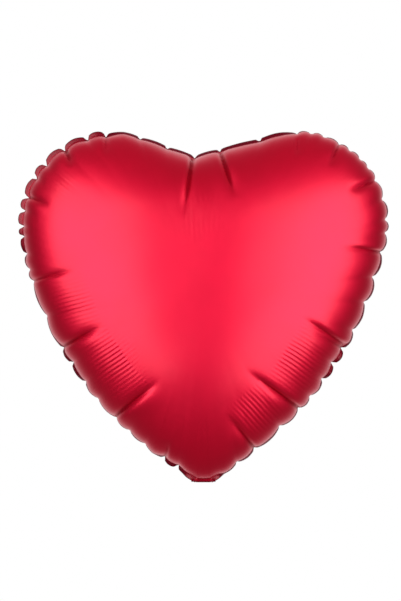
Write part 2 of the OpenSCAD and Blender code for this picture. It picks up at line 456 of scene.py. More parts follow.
@dataclass
class Rim:
    """The sealed rim that both films share: how it is notched and how its edge turns back."""

    outline: Outline
    seal_width: float
    creases: Sequence[Crease]
    stretches: Sequence[Stretch]
    flat_lean: float = 14.0
    tucked_lean: float = 84.0
    lean_spread: float = 8.0
    least_gap: float = 0.008
    pitch_spread: float = 0.2
    depth_spread: tuple[float, float] = (0.75, 1.15)
    reach_in: float = 0.8
    gather: float = 0.72
    roundness: float = 0.38
    top_floor: float = 0.0004
    notch_reach: float = 0.003
    notch_width: float = 0.2
    corner_passes: int = 30
    quiet: float = 0.012
    seed: int = 7
    loop: Array = field(init=False)
    outward: Array = field(init=False)
    seal: Array = field(init=False)
    reach: Array = field(init=False)
    length: float = field(init=False)
    bays: list[Bay] = field(init=False)
    lean: Array = field(init=False)

    def __post_init__(self) -> None:
        """Lays out the cut edge, its bays, and the seal's inner edge."""
        self.loop = self.outline.loop()
        self.outward = self.outline.outward(self.loop)
        closed = np.vstack([self.loop, self.loop[:1]])
        self.reach = along(closed)[:-1]
        self.length = float(along(closed)[-1])
        self.bays = self.find_bays()
        self.lean = np.radians(self.over_bays([bay.lean for bay in self.bays])) * self.calm()
        inset = self.seal_width * np.cos(self.lean)
        self.seal = self.loop - inset[:, None] * self.outward
        neck = self.outline.neck_steps
        inner = 1 - 2 * SEAL_AT_NECK / self.outline.neck_width
        for i in range(-neck, neck + 1):
            self.seal[i] = [self.loop[i, 0] * inner, NECK_LIP]
        for _ in range(self.corner_passes):
            eased = (np.roll(self.seal, 1, axis=0) + np.roll(self.seal, -1, axis=0)) / 2
            for i in range(neck - 1, 3 * neck):
                self.seal[i] = (self.seal[i] + eased[i]) / 2
                self.seal[-i] = (self.seal[-i] + eased[-i]) / 2

    def find_bays(self) -> list[Bay]:
        """Divides the rim at each crease, and a pitch apart between creases.

        Returns:
            The bays, once round.
        """
        draw = np.random.default_rng(self.seed)
        at_creases = sorted(
            self.reach[np.argmin(np.linalg.norm(self.loop - np.array(c.rim), axis=1))]
            for c in self.creases
        )
        stops = [self.stretches[0].start]
        for place in at_creases:
            if place - stops[-1] > self.least_gap:
                stops.append(place)
        stops.append(self.length - self.stretches[0].start)
        places = []
        for first, last in zip(stops, stops[1:]):
            middle = (first + last) / 2
            part = next(p for p in self.stretches if middle < p.end)
            count = max(1, round((last - first) / part.pitch))
            for k in range(count):
                shift = 0.0 if k == 0 else draw.uniform(-self.pitch_spread, self.pitch_spread)
                place = first + (last - first) * (k + shift) / count
                part = next(p for p in self.stretches if place < p.end)
                depth = part.depth * draw.uniform(*self.depth_spread)
                lean = self.flat_lean + (self.tucked_lean - self.flat_lean) * part.tuck
                places.append((place, depth, lean + draw.uniform(-1, 1) * self.lean_spread))
        ends = [p[0] for p in places[1:]] + [places[0][0] + self.length]
        return [Bay(at, end - at, depth, lean) for (at, depth, lean), end in zip(places, ends)]

    def over_bays(self, values: Sequence[float]) -> Array:
        """Values that each bay has at its middle, for every column."""
        centres = [bay.centre for bay in self.bays]
        return np.interp(self.reach, centres, values, period=self.length)

    def calm(self) -> Array:
        """1 along the rim, falling to 0 at the neck."""
        off = np.minimum(self.reach, self.length - self.reach) - self.outline.neck_width / 2
        return smooth_step(off / self.quiet)

    def puffs(self, inward: Array) -> Array:
        """How far the film stands out between the notches, and in at them.

        Args:
            inward: Distance from the seal over the film, as [row, column].

        Returns:
            Heights, as [row, column].
        """
        mean = self.over_bays([bay.depth for bay in self.bays])[None, :]
        gaps = self.over_bays([bay.gap for bay in self.bays])[None, :]
        height = -self.gather * mean * np.exp(-inward / (self.reach_in * gaps))
        for bay in self.bays:
            share = ((self.reach - bay.start) % self.length) / bay.gap
            arch = np.where(share < 1, np.sin(math.pi * np.minimum(share, 1.0)), 0.0)
            round_top = (arch**2 + self.top_floor) ** self.roundness - self.top_floor**self.roundness
            height += bay.depth * round_top[None, :] * np.exp(-inward / (self.reach_in * bay.gap))
        return height * self.calm()[None, :]

    def tab(self) -> Array:
        """The seal's width at each column, which is less at the notches.

        Returns:
            Shares of the full width.
        """
        width = np.ones_like(self.reach)
        for bay in self.bays:
            share = ((self.reach - bay.start) % self.length) / bay.gap
            near_end = np.minimum(share, 1 - share) * bay.gap
            opened = smooth_step(near_end / self.notch_reach)
            opened = self.notch_width + (1 - self.notch_width) * opened
            width = np.where(share < 1, opened, width)
        return 1 - (1 - width) * self.calm()


# ---------------------------------------------------------------- the two foil films


def add_piece(name: str, places: Array, faces: Sequence[Sequence[int]]) -> bpy.types.Object:
    """Makes a smooth-shaded piece from its points and faces.

    Args:
        name: The piece's name.
        places: Its points, one row each.
        faces: The numbers of each face's points.

    Returns:
        The new object, at the origin.
    """
    mesh = bpy.data.meshes.new(name)
    mesh.from_pydata(places.tolist(), [], [list(f) for f in faces])
    mesh.polygons.foreach_set("use_smooth", np.ones(len(mesh.polygons), bool))
    mesh.update()
    piece = bpy.data.objects.new(name, mesh)
    bpy.context.scene.collection.objects.link(piece)
    return piece


def set_attribute(piece: bpy.types.Object, name: str, values: Array) -> None:
    """Stores one number for each point of a piece, for its finish to read."""
    layer = piece.data.attributes.new(name, "FLOAT", "POINT")
    layer.data.foreach_set("value", np.asarray(values, np.float32))


def map_film(piece: bpy.types.Object, across: Array, down: Array, around: float = math.inf) -> None:
    """Maps a film in metres, for the marks of the sealing bar.

    Args:
        piece: The film.
        across: Each point's distance along the seal.
        down: Each point's distance from the seal.
        around: The seal's length, where it closes on itself.
    """
    layer = piece.data.uv_layers.new(name="rim")
    corners = np.zeros(len(piece.data.loops), int)
    piece.data.loops.foreach_get("vertex_index", corners)
    u, v = across[corners], down[corners]
    for face in piece.data.polygons:
        loops = slice(face.loop_start, face.loop_start + face.loop_total)
        if u[loops].max() - u[loops].min() > around / 2:
            u[loops] = np.where(u[loops] < around / 2, u[loops] + around, u[loops])
    layer.data.foreach_set("uv", np.stack([u, v], axis=1).astype(np.float32).ravel())


def finish_with(piece: bpy.types.Object, kind: str, **settings: object) -> None:
    """Gives a piece a modifier and applies it.

    Args:
        piece: The piece.
        kind: The modifier's type.
        **settings: The modifier's settings.
    """
    bpy.ops.object.select_all(action="DESELECT")
    modifier = piece.modifiers.new(kind.title(), kind)
    for key, value in settings.items():
        setattr(modifier, key, value)
    bpy.context.view_layer.objects.active = piece
    piece.select_set(True)
    bpy.ops.object.modifier_apply(modifier=modifier.name)
    piece.select_set(False)


class Side(Enum):
    """Which way a film faces: the sign of its outward direction along Y."""

    FRONT = -1
    REAR = 1


@dataclass(frozen=True)
class Lane:
    """The shallow lane that the folded tail presses into the film it lies against."""

    line: Array
    half_width: float = 0.0145
    shoulder: float = 0.010
    softness: float = 0.0004
    furthest: float = 30.0

    def pressed(self, place: Array) -> Array:
        """Moves a film's points to behind the lane's line.

        Args:
            place: The film's points, as [ring, column, (x, y, z)].

        Returns:
            The moved points.
        """
        limit = np.interp(place[..., 2], self.line[:, 1], self.line[:, 0])
        over = np.clip((place[..., 1] - limit) / self.softness, -self.furthest, self.furthest)
        inside = 1 - smooth_step((np.abs(place[..., 0]) - self.half_width) / self.shoulder)
        moved = place.copy()
        moved[..., 1] -= inside * self.softness * np.log1p(np.exp(over))
        return moved


@dataclass
class FoilPanel:
    """One of the heart's two films, from its crown over the seal to the cut edge."""

    name: str
    side: Side
    rim: Rim
    membrane: Membrane
    depth: float
    creases: Sequence[Crease]
    ripples: Sequence[Ripples]
    lane: Lane | None = None
    film: float = 0.0002
    mouth: float = 0.0006
    mouth_edge: float = 0.0015
    mouth_reach: float = 1.01
    mouth_darkening: float = 0.9
    mouth_darkening_ease: float = 0.004
    mouth_unsealed: float = 0.4
    drift: float = 0.0005
    drift_waves: tuple[float, float] = (0.055, 0.14)
    drift_count: int = 10
    drift_share: float = 3.0
    calm_seal: float = 0.007
    ripples_from: float = 0.005
    ripples_ease: float = 0.012
    drift_ease: float = 0.05
    crease_shade_depth: float = 0.003
    seal_line: float = 0.0012
    seed: int = 3
    zones: Sequence[tuple[int, float, int]] = ((8, 0.1, 4), (4, 0.25, 7), (2, 0.45, 15), (1, 1.0, 46))
    flange_rows: Sequence[float] = (0.25, 0.5, 0.75, 1.0)
    turn_rate: float = 3.0

    def turns(self) -> tuple[Array, list[int]]:
        """Lays out the rings, which are closer together towards the seal.

        Returns:
            The rings' places between the crown and the seal, and each ring's column step.
        """
        turns, steps, last = [], [], 0.0
        for step, end, count in self.zones:
            turns.extend(np.linspace(last, end, count + 1)[1:])
            steps.extend([step] * count)
            last = end
        return np.array(turns), steps

    def drifting(self, x: Array, z: Array) -> Array:
        """Slow unevenness of the full film at places in the plan view.

        Args:
            x: Places across.
            z: Places up.

        Returns:
            Heights.
        """
        draw = np.random.default_rng(self.seed)
        total = np.zeros_like(x)
        for _ in range(self.drift_count):
            way, phase = draw.uniform(0, math.pi), draw.uniform(0, 2 * math.pi)
            wave = draw.uniform(*self.drift_waves)
            total += np.sin(
                2 * math.pi * (x * math.cos(way) + z * math.sin(way)) / wave + phase
            ) * (wave / self.drift_waves[1])
        return self.drift * total / self.drift_share

    def shaped(self, turns: Array) -> dict[str, Array]:
        """Works out where the film lies on the full grid.

        Args:
            turns: The rings' places between the crown and the seal.

        Returns:
            "place", "inward", the distance in from the seal, "fold", which is 1 in a sharp crease, where
            the finish paints shade, and "sealed", which is 1 on the sealed edge, which the finish paints
            darker as shade, each as [ring, column].
        """
        rim, sign = self.rim, self.side.value
        share = np.sin(turns * math.pi / 2)[:, None, None]
        plan = self.membrane.crown + share * (rim.seal - self.membrane.crown)
        x, z = plan[..., 0], plan[..., 1]
        bulge = self.depth * self.membrane.lift(turns)
        neck_half = self.rim.outline.neck_width / 2 - SEAL_AT_NECK
        open_mouth = smooth_step((neck_half - np.abs(rim.seal[:, 0])) / self.mouth_edge) * (
            rim.seal[:, 1] < NECK_LIP * self.mouth_reach
        )
        stand = self.film + np.sqrt(bulge**2 + (self.mouth * open_mouth) ** 2)
        base = np.stack([x, sign * stand, z], axis=2)
        down = np.gradient(base, axis=0)
        beside = np.roll(base, -1, axis=1) - np.roll(base, 1, axis=1)
        facing = np.cross(down, beside) * -sign
        flat_out = np.stack([rim.outward[:, 0], np.zeros(len(x[0])), rim.outward[:, 1]], axis=1)
        facing /= np.linalg.norm(facing, axis=2)[..., None]
        facing[-1] = flat_out
        steps = np.linalg.norm(np.diff(base, axis=0), axis=2)
        inward = np.vstack([np.cumsum(steps[::-1], axis=0)[::-1], np.zeros((1, len(x[0])))])
        puffed = rim.puffs(inward)
        pressed = np.zeros_like(x)
        for crease in self.creases:
            pressed += crease.press(x, z)
        pressed *= smooth_step(inward / self.calm_seal) * rim.calm()
        rippled = sum((r.swell(x, z) for r in self.ripples), np.zeros_like(x))
        relief = (
            puffed
            - pressed
            + rippled * smooth_step((inward - self.ripples_from) / self.ripples_ease)
            + self.drifting(x, z) * smooth_step(inward / self.drift_ease)
        )
        place = base + facing * relief[..., None]
        if self.lane is not None:
            place = self.lane.pressed(place)
        # painted shade mask: 1 at the bottom of a sharp crease, where the finish darkens the colour; it is
        # also raised near the neck's open mouth, which it darkens too
        fold = np.clip((pressed - puffed) / self.crease_shade_depth, -1, 1)
        near_mouth = 1 - smooth_step(inward / self.mouth_darkening_ease)
        fold = np.maximum(fold, self.mouth_darkening * open_mouth * near_mouth)
        flange = self.flange(place[-1, :, ::2], flat_out, open_mouth)
        rows = len(self.flange_rows)
        beyond = -rim.seal_width * np.array(self.flange_rows)[:, None] * np.ones(len(x[0]))
        seal_line = smooth_step(0.5 - inward / self.seal_line)
        sealed = np.vstack([seal_line, np.ones((rows, len(x[0])))])
        return {
            "place": np.concatenate([place, flange]),
            "inward": np.vstack([inward, beyond]),
            "fold": np.vstack([fold, np.repeat(fold[-1:], rows, axis=0)]),
            "sealed": sealed * (1 - self.mouth_unsealed * open_mouth),
        }

    def flange(self, edge: Array, flat_out: Array, open_mouth: Array) -> Array:
        """The sealed edge beyond the seal's inner line, which turns back as it goes out.

        Args:
            edge: The seal's inner line, as [column, (x, z)].
            flat_out: The outward direction in the seal's plane at each column.
            open_mouth: 1 at the columns of the open neck.

        Returns:
            Places, as [row, column].
        """
        rim, sign = self.rim, self.side.value
        spot = np.stack([edge[:, 0], np.zeros(len(edge)), edge[:, 1]], axis=1)
        width = rim.seal_width * rim.tab()
        width = width * (1 - open_mouth) + NECK_LIP * open_mouth
        back = np.array([0.0, 1.0, 0.0])
        rows, last = [], 0.0
        for out in self.flange_rows:
            turn = (rim.lean * min(1.0, self.turn_rate * out))[:, None]
            way = np.cos(turn) * flat_out + np.sin(turn) * back
            spot = spot + way * (width * (out - last))[:, None]
            across = (np.cos(turn) * back - np.sin(turn) * flat_out) * sign
            rows.append(spot + across * (self.film + self.mouth * open_mouth)[:, None])
            last = out
        return np.array(rows)

    def build(self) -> bpy.types.Object:
        """Makes the film, with fewer columns towards the crown.

        Returns:
            The film.
        """
        turns, steps = self.turns()
        shape = self.shaped(turns)
        steps = steps + [1] * len(self.flange_rows)
        n = len(self.rim.loop)
        crown = np.array([
            self.membrane.crown[0],
            float(shape["place"][0, :: steps[0], 1].mean()),
            self.membrane.crown[1],
        ])
        places, starts = [crown[None]], []
        facts = {key: [np.array([shape[key][0].mean()])] for key in ("inward", "fold", "sealed")}
        reach = [np.zeros(1)]
        total = 1
        for row, step in enumerate(steps):
            starts.append(total)
            places.append(shape["place"][row, ::step])
            for key, kept in facts.items():
                kept.append(shape[key][row, ::step])
            reach.append(self.rim.reach[::step])
            total += n // step
        faces = self.faces(starts, steps, n)
        piece = add_piece(self.name, np.vstack(places), faces)
        for key in ("fold", "sealed"):
            set_attribute(piece, key, np.concatenate(facts[key]))
        map_film(piece, np.concatenate(reach), np.concatenate(facts["inward"]), self.rim.length)
        finish_with(piece, "SOLIDIFY", thickness=self.film, offset=-1.0, use_quality_normals=True)
        return piece

    def faces(self, starts: Sequence[int], steps: Sequence[int], n: int) -> list[tuple[int, ...]]:
        """The faces between the rings, all pointing out of the heart.

        Args:
            starts: The number of each ring's first point.
            steps: Each ring's column step.
            n: How many columns there are at the rim.

        Returns:
            Each face's points.
        """
        first = n // steps[0]
        found = [(0, 1 + i, 1 + (i + 1) % first) for i in range(first)]
        for inner, outer, fine, coarse in zip(starts, starts[1:], steps[1:], steps):
            m, wide = n // coarse, n // fine
            if m == wide:
                for i in range(m):
                    j = (i + 1) % m
                    found.append((inner + i, outer + i, outer + j, inner + j))
                continue
            for i in range(m):
                j, middle = (i + 1) % m, 2 * i + 1
                found.append((inner + i, outer + 2 * i, outer + middle))
                found.append((inner + i, outer + middle, inner + j))
                found.append((inner + j, outer + middle, outer + (2 * i + 2) % wide))
        if self.side is Side.REAR:
            found = [tuple(reversed(f)) for f in found]
        return found


# ---------------------------------------------------------------- tail


@dataclass
class Tail:
    """The flat filling tail: both films of the neck, folded back and up behind the heart."""

    width: float
    middle: Array
    hole_centre: Vector
    hole_way: Vector
    hole_radius: float
    film: float = 0.0002
    puff: float = 0.00055
    seal: float = 0.0035
    stations: int = 40
    across: int = 34
    row: float = 0.0009
    corner: float = 0.003
    seal_ease: float = 0.0022
    crinkle: float = 0.00008
    crinkle_x: float = 0.0031
    crinkle_z: float = 0.0047
    crinkle_sway: float = 0.013
    crinkle_swing: float = 1.7
    crinkle_start: float = 0.8
    crinkle_from: float = 0.012
    crinkle_ease: float = 0.02
    curve_steps: int = 12
    lane_end: Point = (0.1, 0.02)
    fold_shade_until: float = 0.005
    fold_shade_ease: float = 0.006
    fold_seal_and_shade: float = 0.6
    clearance: float = 0.00045
    map_start: float = 0.1
    punch_depth: float = 0.0022
    punch_out: float = 0.0008
    punch_sides: int = 64

    def path(self) -> tuple[Array, Array]:
        """The middle line through the neck, round the fold and up the back.

        Returns:
            Its points as [y, z], and the directions that face outwards from the fold.
        """
        fold = self.middle[0]
        # down the neck's mouth, round the fold, and out behind it
        lead = np.array([
            [0.0, NECK_LIP * 0.8], [0.0, 0.0008], [0.0001, fold[1] * 0.4],
            [0.0009, fold[1] * 1.04], [0.0023, fold[1] * 0.75],
        ])
        plain = resampled(self.middle[1:], self.stations)
        rough = np.vstack([lead, plain])
        ghost = np.vstack([2 * rough[0] - rough[1], rough, 2 * rough[-1] - rough[-2]])
        t = np.linspace(0, 1, self.curve_steps, endpoint=False)[:, None]
        smooth = [
            between(ghost[i], ghost[i + 1], ghost[i + 2], ghost[i + 3], t)
            for i in range(len(rough) - 1)
        ]
        line = np.vstack([*smooth, rough[-1:]])
        line = resampled(line, round(along(line)[-1] / self.row))
        way = np.gradient(line, axis=0)
        way /= np.linalg.norm(way, axis=1)[:, None]
        return line, np.stack([way[:, 1], -way[:, 0]], axis=1)

    def lane(self) -> Lane:
        """The lane that the tail presses into the heart, from the fold to above the tail's end.

        Returns:
            The lane.
        """
        line, out = self.path()
        under = line - (self.puff + self.film + self.clearance) * out
        rising = under[np.argmin(line[:, 1]):]
        rising = rising[np.diff(rising[:, 1], prepend=-1.0) > 0]
        clear = rising[-1] + self.lane_end
        return Lane(np.vstack([rising, clear]))

    def ply(self, outer: bool) -> tuple[Array, Array, Array]:
        """Works out where one ply of the tail lies.

        Args:
            outer: Whether it is the ply that faces away from the heart.

        Returns:
            Its points, as [row, column, (x, y, z)], each row's distance down the tail, and how
            far each point is from being sealed, from 0 to 1.
        """
        line, out = self.path()
        reach = along(line)
        x = np.linspace(-1, 1, self.across + 1)
        from_end = reach[-1] - reach
        tuck = np.clip(1 - from_end / self.corner, 0, 1)
        half = self.width / 2 - self.corner * (1 - np.sqrt(1 - tuck**2))
        at_x = half[:, None] * x[None, :]
        inner_half = self.width / 2 - self.seal
        loose = smooth_step((inner_half - np.abs(at_x)) / self.seal_ease)
        loose *= smooth_step((from_end - self.seal) / self.seal_ease)[:, None]
        sign = 1.0 if outer else -1.0
        swing = self.crinkle_swing * np.sin(reach / self.crinkle_sway)[:, None]
        wave = np.sin(at_x / self.crinkle_x + swing)
        wave = wave * np.sin(reach / self.crinkle_z + self.crinkle_start)[:, None]
        clear_of_fold = smooth_step((reach - self.crinkle_from) / self.crinkle_ease)[:, None]
        stand = sign * (self.film + self.puff * loose) + self.crinkle * wave * clear_of_fold
        points = np.stack([
            at_x,
            line[:, :1] + stand * out[:, :1],
            line[:, 1:] + stand * out[:, 1:],
        ], axis=2)
        return points, reach, loose

    def build_ply(self, name: str, outer: bool) -> bpy.types.Object:
        """Makes one ply of the tail.

        Args:
            name: The piece's name.
            outer: Whether it is the ply that faces away from the heart, which has the hole.

        Returns:
            The ply.
        """
        points, reach, loose = self.ply(outer)
        rows, columns = loose.shape
        number = np.arange(rows * columns).reshape(rows, columns)
        corners = [number[:-1, :-1], number[:-1, 1:], number[1:, 1:], number[1:, :-1]]
        quads = np.stack([c.ravel() for c in corners], axis=1)
        if not outer:
            quads = quads[:, ::-1]
        piece = add_piece(name, points.reshape(-1, 3), quads.tolist())
        # painted shade: near the fold the tail is darkened, with part of the dark seal colour and with the
        # crease's darkening; the seal's relief goes with it
        near_fold = 1 - smooth_step((reach - self.fold_shade_until) / self.fold_shade_ease)
        sealed = np.maximum(1 - loose, self.fold_seal_and_shade * near_fold[:, None])
        set_attribute(piece, "sealed", sealed.ravel())
        set_attribute(piece, "fold", np.repeat(near_fold, columns))
        map_film(piece, points[..., 0].ravel(), np.repeat(reach, columns) + self.map_start)
        finish_with(piece, "SOLIDIFY", thickness=self.film, offset=-1.0)
        if outer:
            self.punch_hole(piece)
        return piece

    def punch_hole(self, ply: bpy.types.Object) -> None:
        """Cuts the inflation hole.

        Args:
            ply: The ply it goes through.
        """
        bpy.ops.object.select_all(action="DESELECT")
        turn = self.hole_way.to_track_quat("Z", "Y").to_euler()
        bpy.ops.mesh.primitive_cylinder_add(
            vertices=self.punch_sides, radius=self.hole_radius, depth=self.punch_depth,
            location=self.hole_centre + self.hole_way * self.punch_out, rotation=turn,
        )
        punch = bpy.context.object
        finish_with(ply, "BOOLEAN", object=punch, operation="DIFFERENCE", solver="EXACT")
        bpy.data.objects.remove(punch)


# ---------------------------------------------------------------- finishes


class Value:
    """A number on its way through a material, which Python's operators reckon with."""

    def __init__(self, graph: "Graph", socket: bpy.types.NodeSocket) -> None:
        """Wraps an output socket of a graph's node."""
        self.graph = graph
        self.socket = socket

    def reckon(self, operation: str, first: object, second: object = 0.0) -> "Value":
        """Adds a Math node.

        Args:
            operation: What it does.
            first: Its first number or value.
            second: Its second number or value.

        Returns:
            The result.
        """
        node = self.graph.node("ShaderNodeMath", {"operation": operation}, {0: first, 1: second})
        return Value(self.graph, node.outputs[0])

    def __add__(self, other: object) -> "Value":
        """The sum."""
        return self.reckon("ADD", self, other)

    def __radd__(self, other: object) -> "Value":
        """The sum, from the right."""
        return self.reckon("ADD", other, self)

    def __sub__(self, other: object) -> "Value":
        """The difference."""
        return self.reckon("SUBTRACT", self, other)

    def __rsub__(self, other: object) -> "Value":
        """The difference, from the right."""
        return self.reckon("SUBTRACT", other, self)

    def __mul__(self, other: object) -> "Value":
        """The product."""
        return self.reckon("MULTIPLY", self, other)

    def __rmul__(self, other: object) -> "Value":
        """The product, from the right."""
        return self.reckon("MULTIPLY", other, self)

    def wave(self) -> "Value":
        """The sine."""
        return self.reckon("SINE", self)

    def eased(self, start: float, end: float) -> "Value":
        """Steps smoothly from 0 to 1.

        Args:
            start: Where it leaves 0.
            end: Where it reaches 1.

        Returns:
            The eased value.
        """
        node = self.graph.node(
            "ShaderNodeMapRange", {"interpolation_type": "SMOOTHSTEP"},
            {"Value": self, "From Min": start, "From Max": end},
        )
        return Value(self.graph, node.outputs["Result"])


class Graph:
    """The nodes of one material or of the world."""

    noise_roughness: float = 0.55
    mix_inputs: tuple[int, int, int] = (0, 6, 7)  # a colour mix's share and its two colours
    mix_output: int = 2

    def __init__(self, tree: bpy.types.NodeTree) -> None:
        """Starts with an empty tree."""
        self.tree = tree
        tree.nodes.clear()

    def node(self, kind: str, settings: dict[str, object], sockets: dict) -> bpy.types.Node:
        """Adds a node.

        Args:
            kind: Its type.
            settings: Its settings, which are set first.
            sockets: A number, colour, Value or output socket for each input it names.

        Returns:
            The node.
        """
        node = self.tree.nodes.new(kind)
        for key, value in settings.items():
            setattr(node, key, value)
        for key, value in sockets.items():
            if isinstance(value, Value):
                self.tree.links.new(value.socket, node.inputs[key])
            elif isinstance(value, bpy.types.NodeSocket):
                self.tree.links.new(value, node.inputs[key])
            else:
                node.inputs[key].default_value = value
        return node

    def attribute(self, name: str) -> Value:
        """A piece's own numbers by name."""
        node = self.node("ShaderNodeAttribute", {"attribute_name": name}, {})
        return Value(self, node.outputs["Fac"])

    def place(self) -> bpy.types.NodeSocket:
        """Places on the piece, in metres."""
        return self.node("ShaderNodeTexCoord", {}, {}).outputs["Object"]

    def noise(self, place: bpy.types.NodeSocket, size: float, detail: float = 2.0) -> Value:
        """Cloudy noise from 0 to 1.

        Args:
            place: Where it is read.
            size: The size of its clouds, in metres.
            detail: How many finer layers it has.

        Returns:
            The noise.
        """
        node = self.node(
            "ShaderNodeTexNoise", {"noise_dimensions": "3D"},
            {
                "Vector": place, "Scale": 1.0 / size,
                "Detail": detail, "Roughness": self.noise_roughness,
            },
        )
        return Value(self, node.outputs["Fac"])

    def mixed(self, share: Value, first: object, second: object) -> bpy.types.NodeSocket:
        """A colour between two others.

        Args:
            share: How much of the second there is.
            first: The first colour or its socket.
            second: The second colour or its socket.

        Returns:
            The mixed colour.
        """
        node = self.node(
            "ShaderNodeMix", {"data_type": "RGBA", "clamp_factor": True},
            dict(zip(self.mix_inputs, (share, first, second))),
        )
        return node.outputs[self.mix_output]

    def bumped(self, height: Value, depth: float, strength: float = 1.0) -> bpy.types.NodeSocket:
        """A surface direction from a height.

        Args:
            height: The height, from 0 to 1.
            depth: What a height of 1 stands for, in metres.
            strength: How much of it shows.

        Returns:
            The direction.
        """
        node = self.node("ShaderNodeBump", {}, {"Height": height, "Distance": depth, "Strength": strength})
        return node.outputs["Normal"]


class Finish:
    """What all finishes share: a new material whose surface comes from the finish's own nodes."""

    name: str

    def surface(self, graph: Graph) -> bpy.types.Node:
        """Adds the nodes of the finish, and gives back its shader."""
        raise NotImplementedError

    def made(self) -> bpy.types.Material:
        """Makes the material.

        Returns:
            The material.
        """
        material = bpy.data.materials.new(self.name)
        material.use_nodes = True
        graph = Graph(material.node_tree)
        shader = self.surface(graph)
        graph.node("ShaderNodeOutputMaterial", {}, {"Surface": shader.outputs[0]})
        return material


@dataclass(frozen=True)
class FoilFinish(Finish):
    """Satin metallised film, dyed red, with its heat-sealed rim, and with painted shade that darkens its
    creases and its sealed rim.
    """

    name: str = "satin_red_foil"
    colour: tuple[float, float, float, float] = (0.96, 0.003, 0.053, 1.0)
    # deep is the darker red for random cloudy tone, and for the painted shade in sharp creases
    deep: tuple[float, float, float, float] = (0.42, 0.001, 0.014, 1.0)
    # painted shade: the sealed rim's colour is made darker than the film, to stand for the shade its
    # tilted tabs lie in
    seal: tuple[float, float, float, float] = (0.20, 0.001, 0.012, 1.0)
    roughness: float = 0.46
    coat: float = 0.8
    coat_roughness: float = 0.3
    cloud_tone: float = 0.1
    # painted shade: how far the crease mask darkens the colour towards deep
    crease_shade_tone: float = 0.75
    seal_shade_share: float = 0.92
    crease_shade_coat: float = 0.8
    cloud: float = 0.045
    scuff: float = 0.006
    grain: float = 0.0009
    knurl: float = 0.0011
    relief: float = 0.00012
    crease_shade_from: float = 0.35
    cloud_from: float = 0.35
    cloud_full: float = 0.7
    cloud_rough: float = 0.06
    scuff_rough: float = 0.05
    crease_rough: float = 0.06
    sealed_rough: float = 0.05
    grain_height: float = 0.16
    scuff_height: float = 0.3
    knurl_height: float = 0.25

    def surface(self, graph: Graph) -> bpy.types.Node:
        """Adds the nodes of the finish.

        Args:
            graph: The material's nodes.

        Returns:
            The shader.
        """
        place = graph.place()
        sealed = graph.attribute("sealed")
        fold = graph.attribute("fold")
        cloud = graph.noise(place, self.cloud)
        grain = graph.noise(place, self.grain, 3.0)
        scuff = graph.noise(place, self.scuff, 4.0)
        # painted shade: in sharp creases and near the neck's open mouth the colour is darkened, the coat
        # thinned and the film roughened
        crease_shade = fold.eased(self.crease_shade_from, 1.0)
        clouded = cloud.eased(self.cloud_from, self.cloud_full)
        tone = clouded * self.cloud_tone + crease_shade * self.crease_shade_tone
        skin = graph.mixed(tone, self.colour, self.deep)
        # painted shade: the sealed rim, on the heart and on the tail, is darkened towards the seal colour
        colour = graph.mixed(sealed * self.seal_shade_share, skin, self.seal)
        roughness = (
            self.roughness
            + (cloud - 0.5) * self.cloud_rough
            + (scuff - 0.5) * self.scuff_rough
            + crease_shade * self.crease_rough
            + sealed * self.sealed_rough
        )
        rim = graph.node("ShaderNodeUVMap", {"uv_map": "rim"}, {}).outputs["UV"]
        split = graph.node("ShaderNodeSeparateXYZ", {}, {"Vector": rim})
        u, v = Value(graph, split.outputs["X"]), Value(graph, split.outputs["Y"])
        turn = 2 * math.pi / self.knurl
        knurl = ((u + v) * turn).wave() * ((u - v) * turn).wave()
        height = (
            (grain - 0.5) * self.grain_height
            + (scuff - 0.5) * self.scuff_height
            + sealed * knurl * self.knurl_height
        )
        return graph.node(
            "ShaderNodeBsdfPrincipled", {},
            {
                "Base Color": colour, "Metallic": 1.0, "Roughness": roughness,
                "Coat Weight": self.coat * (1 - crease_shade * self.crease_shade_coat),
                "Coat Roughness": self.coat_roughness,
                "Normal": graph.bumped(height, self.relief),
            },
        )


@dataclass(frozen=True)
class ClearFilmFinish(Finish):
    """Thin clear film of the valve, with faint handling creases."""

    name: str = "clear_valve_film"
    colour: tuple[float, float, float, float] = (0.86, 0.88, 0.9, 1.0)
    roughness: float = 0.16
    alpha: float = 0.35
    cloud: float = 0.012
    crinkle: float = 0.003
    relief: float = 0.00025
    refraction: float = 1.5
    cloud_rough: float = 0.12
    cloud_alpha: float = 0.12
    crinkle_strength: float = 0.6

    def surface(self, graph: Graph) -> bpy.types.Node:
        """Adds the nodes of the finish.

        Args:
            graph: The material's nodes.

        Returns:
            The shader.
        """
        place = graph.place()
        cloud = graph.noise(place, self.cloud, 3.0)
        crinkle = graph.noise(place, self.crinkle, 2.0)
        return graph.node(
            "ShaderNodeBsdfPrincipled", {},
            {
                "Base Color": self.colour, "IOR": self.refraction,
                "Roughness": self.roughness + cloud * self.cloud_rough,
                "Alpha": self.alpha + (cloud - 0.5) * self.cloud_alpha,
                "Normal": graph.bumped(crinkle, self.relief, self.crinkle_strength),
            },
        )


@dataclass(frozen=True)
class FloorFinish(Finish):
    """A plain pale floor, which fades into white far from the object."""

    name: str = "pale_floor"
    colour: tuple[float, float, float, float] = (0.82, 0.82, 0.82, 1.0)
    fade_start: float = 0.5
    fade_end: float = 1.5

    def surface(self, graph: Graph) -> bpy.types.Node:
        """Adds the nodes of the finish.

        Args:
            graph: The material's nodes.

        Returns:
            The shader.
        """
        length = graph.node("ShaderNodeVectorMath", {"operation": "LENGTH"}, {0: graph.place()})
        far = Value(graph, length.outputs["Value"]).eased(self.fade_start, self.fade_end)
        pale = graph.node("ShaderNodeBsdfDiffuse", {}, {"Color": self.colour})
        white = graph.node("ShaderNodeEmission", {}, {"Color": (1, 1, 1, 1), "Strength": 1.0})
        return graph.node("ShaderNodeMixShader", {}, {0: far, 1: pale.outputs[0], 2: white.outputs[0]})


def dress(piece: bpy.types.Object, material: bpy.types.Material) -> None:
    """Gives a piece one material all over."""
    piece.data.materials.clear()
    piece.data.materials.append(material)


# ---------------------------------------------------------------- studio


